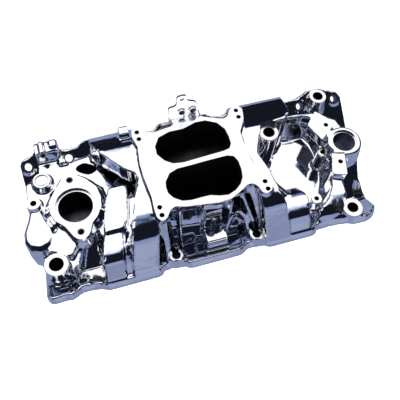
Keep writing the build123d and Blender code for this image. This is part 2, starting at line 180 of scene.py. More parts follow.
def passage(side, port_x, width, crossing):
    """Sections of a runner's passage, from its plenum half to the head: centre, direction, width, height."""
    end = -1 if port_x < 0 else 1
    low = -49 if side < 0 else -75
    into_head = (0, side * math.sin(bank_slope), -math.cos(bank_slope))
    port = [(on_flange(side, port_x, -14, lift), into_head, width, tall)
            for lift, tall in ((5, 40), (-flange_thick - 2, 46))]
    if crossing:
        return [((end * 46, -side * 24, low), (end, 0, 0), 30, 26),
                ((end * 66, -side * 17, low), (end * 0.8, side * 0.6, 0), 26, 26),
                ((end * 80, side * 4, low - 1), (end * 0.15, side, 0), width + 4, 26),
                ((end * 88, side * 44, low - 4), (end * 0.5, side, -0.12), width, 32),
                ((port_x, side * 72, -60), (end * 0.2, side, -0.75), width, 30)] + port
    return [((end * 36, side * 28, -31), (end * 0.6, side * 0.8, 0), 32, 32),
            ((end * 62 + 0.3 * (port_x - end * 62), side * 50, -31), (end * 0.4, side, -0.1), width, 34),
            ((port_x, side * 70, -49), (0, side, -0.7), width, 32)] + port


def add_passage(shape, sections, grow=0.0, corner=3.4, sides=32):
    """Rounded sections joined one after another, grown all round where they stand for the runner's wall."""
    rings = []
    for place, direction, width, height in sections:
        along = Vector(direction).normalized()
        level = Vector((-along.y, along.x, 0))
        level = level.normalized() if level.length > 0.2 else Vector((1, 0, 0))
        lift = along.cross(level)
        ring = []
        for turn in (2 * math.pi * step / sides for step in range(sides)):
            c, s = math.cos(turn), math.sin(turn)
            across = math.copysign(abs(c) ** (2 / corner), c) * (width / 2 + grow)
            upward = math.copysign(abs(s) ** (2 / corner), s) * (height / 2 + grow)
            ring.append(Vector(place) + level * across + lift * upward)
        rings.append(ring)
    add_loft(shape, rings)


def finish_shape(shape, name):
    """Turns the gathered shape into an object at the origin with outward faces."""
    bmesh.ops.recalc_face_normals(shape, faces=shape.faces)
    bmesh.ops.triangulate(shape, faces=shape.faces)
    mesh = bpy.data.meshes.new(name)
    shape.to_mesh(mesh)
    shape.free()
    made = bpy.data.objects.new(name, mesh)
    scene.collection.objects.link(made)
    return made


def bake_modifiers(piece):
    """Bakes a piece's modifiers into its mesh."""
    bpy.context.view_layer.update()
    baked = bpy.data.meshes.new_from_object(piece.evaluated_get(bpy.context.evaluated_depsgraph_get()))
    piece.modifiers.clear()
    piece.data = baked


def cut_away(piece, shape, metal):
    """Takes the gathered shape out of a piece and gives the cut faces their own finish."""
    tool = finish_shape(shape, "tool")
    tool.data.materials.append(metal)
    cut = piece.modifiers.new("cut", "BOOLEAN")
    cut.operation = "DIFFERENCE"
    cut.solver = "MANIFOLD"
    cut.material_mode = "TRANSFER"
    cut.object = tool
    bake_modifiers(piece)
    bpy.data.objects.remove(tool)


body = bmesh.new()
# carburettor pad and the plenum under it
add_prism(body, pad_outline, 3, -13)
plenum_body = [(-64, -56), (-20, -61), (20, -64), (50, -52), (54, 0), (56, 50), (28, 66), (-20, 62),
               (-50, 60), (-64, 54)]
add_prism(body, plenum_body, -8, floor_under + 2)
# head flanges, valley floor and end rails
for side, outline in ((-1, near_flange), (1, far_flange)):
    add_loft(body, [[on_flange(side, x, v, lift) for x, v in outline] for lift in (0, -flange_thick)])
valley_floor = [(-237, -56), (236, -56), (234, -44), (243, -24), (247, -8), (247, 56), (-237, 56)]
add_prism(body, valley_floor, floor_z, floor_under)
add_prism(body, [(-237, -52), (-217, -52), (-217, 52), (-237, 52)], -95, -112)
add_prism(body, [(226, -34), (240, -28), (246, -8), (246, 52), (226, 52)], -95, -112)
# the broad ribbons that carry the inner runners from the pad down to each bank, and the domes beyond them
front_ribbon = [(118, -113, -74, -68), (110, -116, -72, -57), (101, -122, -72, -43), (92, -131, -73, -30),
                (89, -136, -74, -23.5), (80, -138, -74, -19), (70, -133, -74, -15), (62, -130, -72, -11.8),
                (55, -127, -70, -9.7), (45, -120, -70, -8.5), (35, -113, -70, -8), (25, -106, -70, -8),
                (15, -97, -70, -8), (8, -88, -70, -8), (0, -86, -70, -8), (-10, -90, -70, -8),
                (-23, -96, -70, -8), (-38, -102, -70, -8.5), (-52, -107, -70, -9.2),
                (-59, -109, -74, -10.3), (-65, -110, -75, -11.2), (-70, -111, -76, -12.2),
                (-74, -112, -77, -13.4), (-78, -113, -78, -15), (-82, -114, -79, -17.2),
                (-85, -115, -80, -19.3), (-88, -115.5, -81, -22.2), (-96, -118, -83, -34),
                (-104, -120, -86, -45.8), (-112, -121.5, -88, -57.6), (-118, -122, -89, -67)]
rear_ribbon = [(118, 80, 150, -68), (110, 79, 151, -57), (101, 79, 152, -43), (94, 79, 153, -32),
               (90, 79, 153, -24.5), (84, 80, 152, -21), (76, 81, 152, -18.6), (68, 82, 152, -16.4),
               (60, 76, 152, -14.2), (52, 68, 149, -12), (46, 62, 144, -10.4), (41, 60, 137, -9.1),
               (38, 60, 118, -8.5), (34, 60, 101, -8.2), (25, 60, 94, -8), (15, 60, 89, -8),
               (5, 60, 84, -8), (-5, 60, 80.5, -8), (-20, 60, 84, -8), (-35, 60, 87, -8),
               (-55, 60, 88.5, -8), (-68, 61, 90, -8.6), (-74, 61, 91.5, -9.8), (-78, 61, 92.5, -11),
               (-82, 61, 93, -12.8), (-85, 61, 93.5, -14.6), (-88, 61, 94, -17.4), (-96, 61, 95, -30),
               (-104, 61, 95.5, -42.4), (-112, 61, 95.5, -55), (-118, 61, 95.5, -65)]
front_outer = [(8, -127, -104, -27.5), (2, -130, -102, -28), (-12, -136, -105, -28), (-24, -139, -108, -28),
               (-39, -143, -111, -28.5), (-50, -145, -115, -29), (-56, -146, -119, -29),
               (-58, -147, -121, -31), (-66, -150, -124, -31), (-76, -152, -126, -31.4),
               (-86, -154, -128, -32.2), (-92, -155, -129, -33.2), (-97, -155.5, -130, -34.6),
               (-104, -156, -131, -46), (-110, -156.5, -132, -56.5), (-116, -157, -133, -68)]
rear_outer = [(-50, 80, 126, -47), (-62, 84, 132, -41), (-70, 84, 134, -39), (-78, 84, 134, -38.6),
              (-86, 84, 131, -39.2), (-92, 84, 129.5, -40), (-98, 84, 128.5, -42.5), (-104, 84, 127.5, -49),
              (-110, 84, 127, -57.5), (-116, 84, 126, -68)]
# the groove between the two near front runners
front_groove = [(-8, -106, -88, -38), (-50, -117, -104, -39), (-86, -129, -113, -43), (-97, -131, -116, -51),
                (-112, -133, -120, -68)]
for stations in (front_ribbon, rear_ribbon, front_outer, rear_outer, front_groove):
    add_ridge(body, [(*station, flange_foot(station[0])) for station in stations])
for side, x, width in ports:
    add_passage(body, passage(side, x, width, width < 20)[:-1], grow=4)
# exhaust crossover under the plenum and the water crossover at the front
add_prism(body, [(-28, -76), (36, -76), (36, 76), (-28, 76)], -66, -97)
add_prism(body, [(-230, -70), (-188, -70), (-188, 70), (-230, 70)], -64, -97)
# thermostat tower with its two-eared flange, and the raised deck it stands on
middle = Vector(thermostat_at)
skirt = [middle + (Vector(point) - middle) * (1 + 7 / (Vector(point) - middle).length)
         for point in thermostat_outline]
add_prism(body, thermostat_outline, -40.5, -48)
add_loft(body, [[(x, y, -58) for x, y in skirt], [(x, y, -47) for x, y in thermostat_outline]])
add_round(body, (*thermostat_at, -44), (0, 0, 1), 32, 56, 35)
for y in (40, -38):
    add_round(body, (thermostat_at[0], y, -44), (0, 0, 1), 9, 30, 13)
add_prism(body, front_deck, -57, -99)
add_ridge(body, [(-40, -200, -158, -60, -99), (-58, -200, -158, -72, -99), (-78, -200, -158, -85, -99)])
add_ridge(body, [(12, -222, -200, -58, -99), (-20, -222, -190, -71, -99), (-50, -224, -186, -85, -99),
                 (-64, -224, -190, -92, -99)])
add_loft(body, [[(-200, -14, z), (-178 + out, -47, z), (-194, -68, z), (-222 - out, -52, z)]
                for z, out in ((-98, 5), (-50.5, 0))])
add_prism(body, [(-183, -38), (-168, -36), (-193, -92), (-207, -84)], -57, -98)
for outline, top in (([(-183, 87), (-146, 85), (-143, 72), (-178, 71)], -60),
                     ([(-184, 92), (-172, 92), (-172, 78), (-184, 78)], -52)):
    add_prism(body, outline, top, -90)
add_loft(body, [[(-214, 113, z), (-180, 113, z), (-181, y, z), (-213, y, z)]
                for z, y in ((-75, 84), (-40, 93))])
add_prism(body, [(-206, 112), (-200, 112), (-200, 91), (-206, 91)], -35, -60)
add_prism(body, [(-191, 112), (-182, 112), (-182, 100), (-191, 100)], -37, -60)
pear = [(-234, 8), (-222, 7), (-219, -6), (-214, -18), (-213, -30), (-219, -40), (-230, -43.5), (-240, -39),
        (-245, -29), (-244, -17), (-238, -4)]
add_loft(body, [[(x + (x + 230) * out, y + (y + 18) * out, z) for x, y in pear]
                for z, out in ((-99, 0.34), (-53, 0.3), (-49, 0))])
# near side of the plenum: stepped choke well between two recesses, with an arched web to the rear
add_prism(body, [(-15, -72), (8.5, -72), (8.5, -50), (-15, -50)], -14, -98)
add_loft(body, [[(-16, -62, -22), (9.5, -62, -22), (9.5, -62, -98), (-16, -62, -98)],
                [(-16.5, -74, -44), (10, -74, -44), (10, -74, -98), (-16.5, -74, -98)]])
add_prism(body, [(-18, -97), (11, -97), (11, -70), (-18, -70)], -51, -90)
add_prism(body, [(-19, -101), (12, -101), (12, -96), (-19, -96)], -60, -80)
add_loft(body, [[(-58, -58, -62), (-17, -62, -62), (-17, -62, -98), (-58, -58, -98)],
                [(-58, -70, -66), (-17, -72, -66), (-17, -72, -95), (-58, -70, -95)]])
add_loft(body, [[(-58, -88, -77), (-17, -90, -75), (-17, -90, -90), (-58, -88, -90)],
                [(-58, -93, -75), (-17, -95, -73), (-17, -95, -85), (-58, -93, -85)]])
add_loft(body, [[(11, -92, -74), (44, -90, -74), (44, -90, -90), (11, -92, -90)],
                [(11, -98, -70), (44, -96, -70), (44, -96, -85), (11, -98, -85)]])
for path, thick in (([(2, -100, -70), (10, -86, -52), (22, -74, -38), (34, -68, -34), (42, -76, -44),
                      (44, -96, -66)], 5),
                    ([(40, -52, -12), (44, -64, -24), (50, -80, -44), (56, -100, -64)], 4.5),
                    ([(52, -54, -10), (56, -66, -26), (60, -84, -48), (62, -104, -66)], 4),
                    ([(28, -58, -10), (24, -66, -30), (16, -76, -48)], 4),
                    ([(-70, -66, -8), (-70, -74, -30), (-70, -90, -56), (-72, -104, -66)], 8),
                    ([(-46, -58, -10), (-47, -64, -30), (-48, -76, -56), (-50, -96, -70)], 3)):
    add_loft(body, [[(x - thick / 2, y, z), (x + thick / 2, y, z),
                     (x + thick / 2, y + 4, z - 30), (x - thick / 2, y + 4, z - 30)] for x, y, z in path])
# distributor ring on its deck, whose foot sweeps into the floor; coil pads and the leg to the near rear port
add_round(body, (*distributor_at, -40), (0, 0, 1), 25, 24, 29)
pit_side = [(150, 72), (174, 70), (187, 61), (194, 44), (195, 24), (194, 8), (191, -10), (184, -30),
            (174, -48)]
deck_back = [(200, -50), (206, -34), (237, -24), (245, 4), (236, 52), (205, 74), (160, 76)]
add_loft(body, [[(x + back, y, z) for x, y in pit_side] + [(x, y, z) for x, y in deck_back]
                for z, back in ((-99, 0), (-97, 0.7), (-90, 5), (-82, 10), (-74, 14), (-60, 15))])
add_ridge(body, [(-16, 200, 241, -58, -99), (-45, 199, 234, -72.5, -99), (-66, 198, 236, -84.5, -99),
                 (-76, 198, 237, -91, -99)])
coil_pads = [[(200.7, 62.5), (223, 35), (191.6, 11), (180.5, 41.3)],
             [(196, -14), (213.5, -19), (203.5, -53.5), (183.5, -47)]]
for outline in coil_pads:
    add_prism(body, outline, -40.5, -62)
add_loft(body, [[(186, -40, -52), (200, -40, -52), (200, -40, -96), (182, -40, -96)],
                [(181, -58, -53.2), (199, -58, -53.2), (200, -58, -96), (176, -58, -96)],
                [(170, -74, -54.4), (196, -76, -54.4), (197, -76, -90), (163, -74, -90)],
                [(152, -88, -56), (190, -88, -56), (191, -88, -80), (146, -88, -80)],
                [(145, -98, -60), (184, -98, -60), (185, -98, -78), (142, -98, -78)],
                [(144, -104, -67), (184, -104, -65), (185, -104, -74), (142, -104, -74)]])
add_loft(body, [[(141, 90, z), (203, 88, z), (203, y, z), (162, y, z), (146, y + 5, z)]
                for z, y in ((-99, 56), (-94, 59), (-87, 64), (-77, 71))])
# round bosses, raised washer faces, the lug for the cable bracket and the square vacuum boss
for x, y, top, rim, foot_rim, foot in bosses:
    add_round(body, (x, y, top + 1.5), (0, 0, 1), rim, top + 1.5 - foot, foot_rim)
for mount in mounts.values():
    if mount["name"].startswith("head_bolt"):
        axis = Vector(mount["axis"])
        place = Vector(mount["pos_m"]) / mm
        if axis.y > 0 and abs(place.x) < 70:
            add_round(body, place + Vector((0, 1, 15)), (0, 0, 1), 10, 22, 12)
        else:
            add_round(body, place + axis * 6, axis, 10, 10)
add_prism(body, [(-22, 50), (22, 50), (22, 86), (-22, 86)], -0.5, -24)
add_prism(body, [(-10.5, 83.2), (18.5, 83.2), (18.5, 91), (-10.5, 91)], 13, -14)
add_prism(body, [(-95, 72), (-81, 72), (-81, 86), (-95, 86)], -6.5, -36)

casting = finish_shape(body, "casting_polished")
remesh = casting.modifiers.new("skin", "REMESH")
remesh.mode = "VOXEL"
remesh.voxel_size = 0.0017
soften = casting.modifiers.new("fettled", "SMOOTH")
soften.factor = 0.5
soften.iterations = 7
thin_out = casting.modifiers.new("thin_out", "DECIMATE")
bpy.context.view_layer.update()
thin_out.ratio = 0.42
bake_modifiers(casting)


def add_node(tree, kind, **settings):
    """Adds a shader node; settings name its properties or its input sockets."""
    made = tree.nodes.new(kind)
    for name, value in settings.items():
        if name in made.inputs:
            made.inputs[name].default_value = value
        else:
            setattr(made, name, value)
    return made


def surface_group():
    """Shared surface detail: a slow ripple from hand buffing, a fine grain and a blotchy tarnish."""
    group = bpy.data.node_groups.new("surface_detail", "ShaderNodeTree")
    for name, low_value, high_value in (("Ripple Scale", 0, 500), ("Grain Scale", 0, 8000), ("Grain", 0, 1),
                                        ("Tarnish Scale", 0, 500), ("Rough Low", 0, 1), ("Rough High", 0, 1)):
        socket = group.interface.new_socket(name, in_out="INPUT", socket_type="NodeSocketFloat")
        socket.min_value, socket.max_value = low_value, high_value
    for name in ("Light Tone", "Dark Tone"):
        group.interface.new_socket(name, in_out="INPUT", socket_type="NodeSocketColor")
    group.interface.new_socket("Height", in_out="OUTPUT", socket_type="NodeSocketFloat")
    group.interface.new_socket("Roughness", in_out="OUTPUT", socket_type="NodeSocketFloat")
    group.interface.new_socket("Colour", in_out="OUTPUT", socket_type="NodeSocketColor")
    inputs = group.nodes.new("NodeGroupInput")
    outputs = group.nodes.new("NodeGroupOutput")
    place = add_node(group, "ShaderNodeTexCoord")
    ripple = add_node(group, "ShaderNodeTexNoise", Detail=2.0, Roughness=0.5)
    grain = add_node(group, "ShaderNodeTexNoise", Detail=4.0, Roughness=0.6)
    tarnish = add_node(group, "ShaderNodeTexNoise", Detail=5.0, Roughness=0.6)
    blend = add_node(group, "ShaderNodeMix", data_type="FLOAT")
    spread = add_node(group, "ShaderNodeMapRange", **{"From Min": 0.35, "From Max": 0.68})
    rough = add_node(group, "ShaderNodeMapRange", **{"From Min": 0.0, "From Max": 1.0})
    tone = add_node(group, "ShaderNodeMix", data_type="RGBA")
    link = group.links.new
    for noise, scale in ((ripple, "Ripple Scale"), (grain, "Grain Scale"), (tarnish, "Tarnish Scale")):
        link(place.outputs["Object"], noise.inputs["Vector"])
        link(inputs.outputs[scale], noise.inputs["Scale"])
    link(inputs.outputs["Grain"], blend.inputs["Factor"])
    link(ripple.outputs["Fac"], blend.inputs["A"])
    link(grain.outputs["Fac"], blend.inputs["B"])
    link(tarnish.outputs["Fac"], spread.inputs["Value"])
    link(spread.outputs[0], rough.inputs["Value"])
    link(inputs.outputs["Rough Low"], rough.inputs["To Min"])
    link(inputs.outputs["Rough High"], rough.inputs["To Max"])
    link(spread.outputs[0], tone.inputs["Factor"])
    link(inputs.outputs["Light Tone"], tone.inputs["A"])
    link(inputs.outputs["Dark Tone"], tone.inputs["B"])
    link(blend.outputs["Result"], outputs.inputs["Height"])
    link(rough.outputs[0], outputs.inputs["Roughness"])
    link(tone.outputs["Result"], outputs.inputs["Colour"])
    return group


surface_detail = surface_group()


def finish_of(name, light, dark, rough, ripple, grain_scale, grain, bump, metallic=1.0, tarnish=30.0):
    """A material whose tone, gloss and relief all come from the shared surface detail."""
    made = bpy.data.materials.new(name)
    made.use_nodes = True
    tree = made.node_tree
    shader = tree.nodes["Principled BSDF"]
    shader.inputs["Metallic"].default_value = metallic
    detail = tree.nodes.new("ShaderNodeGroup")
    detail.node_tree = surface_detail
    for socket, value in (("Ripple Scale", ripple), ("Grain Scale", grain_scale), ("Grain", grain),
                          ("Tarnish Scale", tarnish), ("Rough Low", rough[0]), ("Rough High", rough[1]),
                          ("Light Tone", (*light, 1)), ("Dark Tone", (*dark, 1))):
        detail.inputs[socket].default_value = value
    relief = tree.nodes.new("ShaderNodeBump")
    relief.inputs["Strength"].default_value = bump[0]
    relief.inputs["Distance"].default_value = bump[1]
    tree.links.new(detail.outputs["Colour"], shader.inputs["Base Color"])
    tree.links.new(detail.outputs["Roughness"], shader.inputs["Roughness"])
    tree.links.new(detail.outputs["Height"], relief.inputs["Height"])
    tree.links.new(relief.outputs["Normal"], shader.inputs["Normal"])
    return made


polished = finish_of("polished_aluminium", light=(0.89, 0.895, 0.92), dark=(0.84, 0.85, 0.88),
                     rough=(0.03, 0.08), ripple=45, grain_scale=900, grain=0.06, bump=(0.35, 0.0012))
machined = finish_of("machined_aluminium", light=(0.88, 0.88, 0.89), dark=(0.82, 0.82, 0.84),
                     rough=(0.16, 0.26), ripple=30, grain_scale=2200, grain=0.7, bump=(0.25, 0.0002))
# Bore and pocket walls: the near-black base colour is painted shade inside the holes; bored aluminium itself is
# bright.
bore_painted_shade = finish_of("bored_aluminium_painted_shade", light=(0.17, 0.17, 0.19), dark=(0.11, 0.11, 0.12),
                  rough=(0.3, 0.45), ripple=60, grain_scale=1500, grain=0.6, bump=(0.3, 0.0002))
# Passage and cavity walls: the rough gloss is the cast skin, but the near-black base colour is painted shade
# deep inside the casting.
as_cast_painted_shade = finish_of("as_cast_aluminium_painted_shade", light=(0.15, 0.145, 0.15), dark=(0.09, 0.085, 0.08),
                    rough=(0.45, 0.6), ripple=90, grain_scale=1100, grain=0.7, bump=(0.6, 0.0008))
sand_cast = finish_of("sand_cast_aluminium", light=(0.50, 0.50, 0.51), dark=(0.38, 0.38, 0.39),
                      rough=(0.45, 0.6), ripple=90, grain_scale=1000, grain=0.8, bump=(0.7, 0.0007))
casting.data.materials.clear()
casting.data.materials.append(polished)

# milled faces
mill = bmesh.new()
add_prism(mill, [(-95, -90), (95, -90), (95, 78), (-95, 78)], 12, 0)
add_prism(mill, [(-211, -53), (-137, -53), (-137, 53), (-211, 53)], -38, -42)
for outline in coil_pads:
    add_prism(mill, outline, -34, -42)
for x, y, top, rim, foot_rim, foot in bosses:
    clear = 18 if top > -30 else 6
    add_round(mill, (x, y, top + clear), (0, 0, 1), rim + 0.6, clear)
cut_away(casting, mill, machined)
spot = bmesh.new()
bore = bmesh.new()
mouth = bmesh.new()
for mount in mounts.values():
    place = Vector(mount["pos_m"]) / mm
    axis = Vector(mount["axis"])
    size = mount["dims"]
    if mount["name"].startswith("head_bolt"):
        if axis.y > 0 and abs(place.x) < 70:
            add_round(spot, place + Vector((0, 1, 24)), (0, 0, 1), 11, 10)
        else:
            add_round(spot, place + axis * 27, axis, 8.5, 21.2)
        add_round(bore, place + axis * 30, axis, size["r_mm"], 60)
        if axis.y > 0 and abs(place.x) < 70:
            add_round(mouth, place + Vector((0, 1, 18)), (0, 0, 1), size["r_mm"] + 0.4, 16)
    elif mount["kind"] == "bolt_pattern" and "spacing_x_mm" in size:
        for x in (-0.5, 0.5):
            for y in (-0.5, 0.5):
                stud = (x * size["spacing_x_mm"], y * size["spacing_y_mm"], 4)
                add_round(bore, stud, axis, size["hole_r_mm"], 20)
    elif mount["kind"] == "threaded_hole":
        add_round(bore, place + axis * (size["length_mm"] / 2 + 3), axis, size["r_mm"], size["length_mm"] + 3)
add_round(bore, (-211.7, 54, -42), (0, 0, 1), 9.2, 10)
add_round(bore, (*distributor_at, -38), (0, 0, 1), 16.5, 40)
add_round(bore, (*thermostat_at, -38), (0, 0, 1), 23.5, 46)
for y in (41.7, -39.7):
    add_round(bore, (thermostat_at[0], y, -38), (0, 0, 1), 5.2, 16)
cut_away(casting, spot, machined)
# the bores take the near-black finish, which is painted shade
cut_away(casting, bore, bore_painted_shade)
# a pear-shaped pocket in the front deck, and the two coil screws' clearance holes, their walls dark with painted
# shade
pocket = [(-149 + 15 * math.cos(turn) ** 3 * 0.35 + 9.5 * math.cos(turn),
           63 + 10 * math.sin(turn) - 3 * math.cos(turn))
          for turn in (math.pi * step / 16 for step in range(32))]
add_prism(mouth, pocket, -40, -76)
for x, y in ((207.4, 34.6), (202.4, -30.8)):
    add_round(mouth, (x, y, -38), (0, 0, 1), 3.6, 12)
cut_away(casting, mouth, bore_painted_shade)
seats = bmesh.new()
add_round(seats, (*thermostat_at, -38), (0, 0, 1), 27, 8)
add_round(seats, (*distributor_at, -38), (0, 0, 1), 19, 5)
cut_away(casting, seats, machined)

# the hollow under the distributor deck, its walls dark with painted shade
under = bmesh.new()
add_prism(under, [(203, -22), (236, -22), (240, 0), (239, 46), (203, 46)], -68, -118)
cut_away(casting, under, as_cast_painted_shade)
# passages: the two plenum halves, then the runners in two lots, their walls dark with painted shade
hollow = bmesh.new()
add_prism(hollow, plenum_near, 4, -74)
add_prism(hollow, plenum_far, 4, -48)
cut_away(casting, hollow, as_cast_painted_shade)
for lot in (ports[:4], ports[4:]):
    hollow = bmesh.new()
    for side, x, width in lot:
        add_passage(hollow, passage(side, x, width, width < 20))
    cut_away(casting, hollow, as_cast_painted_shade)

# the underside is left as the sand gave it, apart from the two milled gasket faces
casting.data.materials.append(sand_cast)
polished_slot = casting.data.materials.find(polished.name)
machined_slot = casting.data.materials.find(machined.name)
rough_slot = casting.data.materials.find(sand_cast.name)
edges = bmesh.new()
edges.from_mesh(casting.data)
for face in edges.faces:
    face.smooth = True
    if face.material_index == polished_slot and face.normal.z < -0.45:
        middle = face.calc_center_median() / mm
        lift = ((middle.z - bolt_row_z) * math.cos(bank_slope)
                - (abs(middle.y) - bolt_row_y) * math.sin(bank_slope))
        on_gasket_face = abs(lift + flange_thick) < 1.6 and abs(middle.y) > 50
        face.material_index = machined_slot if on_gasket_face else rough_slot
for edge in edges.edges:
    edge.smooth = edge.is_manifold and edge.calc_face_angle() < 0.6
edges.to_mesh(casting.data)
edges.free()
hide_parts("manifold_casting")
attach(casting, "root")

# ---- core plug ---------------------------------------------------------------------------
# A pressed steel plug closes the casting's core hole beside the thermostat. It is a shallow cup with a
# rolled edge and a slightly domed face, driven in flush and buffed together with the casting.


def turned(profile, place, sides=64, axis=(0, 0, 1)):
    """A closed turned shape: pairs of radius and height, in millimetres, swept round an axis."""
    axis = Vector(axis).normalized()
    across = axis.orthogonal().normalized()
    other = axis.cross(across)
    shape = bmesh.new()
    rows = []
    for radius, height in profile:
        middle = Vector(place) + axis * height
        if radius < 0.01:
            rows.append([shape.verts.new(middle * mm)])
            continue
        spokes = [across * math.cos(turn) + other * math.sin(turn)
                  for turn in (2 * math.pi * step / sides for step in range(sides))]
        rows.append([shape.verts.new((middle + spoke * radius) * mm) for spoke in spokes])
    for first, second in zip(rows, rows[1:]):
        for step in range(sides):
            after = (step + 1) % sides
            if len(first) == 1 and len(second) == 1:
                continue
            if len(first) == 1:
                shape.faces.new((first[0], second[after], second[step]))
            elif len(second) == 1:
                shape.faces.new((first[step], first[after], second[0]))
            else:
                shape.faces.new((first[step], first[after], second[after], second[step]))
    return shape


def place_piece(shape, name, metal, node_names, smooth_under=0.6):
    """Gives a shape its finish, smooth shading and its place in the frame."""
    piece = finish_shape(shape, name)
    piece.data.materials.append(metal)
    soft = bmesh.new()
    soft.from_mesh(piece.data)
    for face in soft.faces:
        face.smooth = True
    for edge in soft.edges:
        edge.smooth = edge.is_manifold and edge.calc_face_angle() < smooth_under
    soft.to_mesh(piece.data)
    soft.free()
    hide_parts(*node_names)
    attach(piece, "root")
    return piece


def box_middle(name):
    """Middle, lowest and highest corner of a CAD node, in millimetres."""
    lowest, highest = (Vector(corner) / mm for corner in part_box(name))
    return (lowest + highest) / 2, lowest, highest


plug_steel = finish_of("buffed_steel", light=(0.80, 0.80, 0.82), dark=(0.70, 0.70, 0.73),
                       rough=(0.06, 0.14), ripple=60, grain_scale=1200, grain=0.2, bump=(0.3, 0.0006))
middle, lowest, highest = box_middle("core_plug")
crown = highest.z - lowest.z
plug_profile = [(0, 0), (8.4, 0), (8.95, 0.5), (8.95, crown - 0.45), (8.75, crown - 0.15), (8.3, crown),
                (5, crown + 0.12), (2.5, crown + 0.18), (0, crown + 0.2)]
place_piece(turned(plug_profile, (middle.x, middle.y, lowest.z)), "core_plug_pressed", plug_steel,
            ["core_plug"])

# ---- cable bracket -------------------------------------------------------------------------
# A laser-cut and folded sheet bracket stands on the far edge of the pad and holds the throttle cable's end.
# Its edges are broken by tumbling, and it is held to the casting's lug by two hexagon bolts.
bracket_finish = finish_of("satin_sheet", light=(0.93, 0.93, 0.94), dark=(0.86, 0.86, 0.88),
                           rough=(0.35, 0.5), ripple=60, grain_scale=1800, grain=0.7,
                           bump=(0.3, 0.0003), metallic=0.0)
middle, lowest, highest = box_middle("cable_bracket")
plate_near, plate_far = 80.0, highest.y
plate_outline = [(-23, 2.5), (-22.5, 14.5), (-21, 17), (-18, 17.8), (-13.5, 18.5), (-11.8, 20.5), (-11, 24),
                 (-11, 34), (-9.5, 37), (-6.5, 38), (-1.5, 38), (1.3, 37), (2.7, 34.5), (3.4, 29),
                 (4.5, 26), (8, 23.6), (13, 21.6), (16, 19), (18, 15.5), (19.6, 12.5), (20, 8), (20, 2.5),
                 (19.5, 0), (-22.5, 0)]
bracket_shape = bmesh.new()
add_loft(bracket_shape, [[(x, y, z) for x, z in plate_outline] for y in (plate_near, plate_far)])
toe_far, toe_thick = plate_near + 1, 2
add_loft(bracket_shape, [[(x, lowest.y, 0), (x, toe_far, 0), (x, toe_far, toe_thick), (x, lowest.y, toe_thick)]
                         for x in (-22.5, -3)])
bracket = place_piece(bracket_shape, "cable_bracket_sheet", bracket_finish, ["cable_bracket"])
round_holes = bmesh.new()
add_round(round_holes, (-4, 90, 31), (0, 1, 0), 3, 20)
cut_away(bracket, round_holes, bracket_finish)
bolt_holes = bmesh.new()
for x in (-5.0, 11.0):
    add_round(bolt_holes, (x, 90, 8), (0, 1, 0), 3.4, 20)
cut_away(bracket, bolt_holes, bracket_finish)
sheared = finish_of("sheared_edge", light=(0.16, 0.16, 0.18), dark=(0.10, 0.10, 0.12),
                    rough=(0.4, 0.5), ripple=60, grain_scale=1800, grain=0.7, bump=(0.3, 0.0003))
bracket.data.materials.append(sheared)
for polygon in bracket.data.polygons:
    if abs(polygon.normal.y) < 0.5 and polygon.center.z > 2.5 * mm:
        polygon.material_index = len(bracket.data.materials) - 1
broken_edge = bracket.modifiers.new("broken_edge", "BEVEL")
broken_edge.width = 0.0004
broken_edge.segments = 2
broken_edge.limit_method = "ANGLE"
bake_modifiers(bracket)

# ---- hexagon bolts and washers of the bracket ------------------------------------------------
# Two zinc-plated M6 hexagon bolts with plain washers clamp the bracket to the lug. The heads are
# cold-formed, with a turned chamfer round the top and a flat bearing collar below.
zinc = finish_of("zinc_plate", light=(0.78, 0.78, 0.80), dark=(0.62, 0.62, 0.66),
                 rough=(0.18, 0.32), ripple=80, grain_scale=1500, grain=0.5, bump=(0.3, 0.0003))


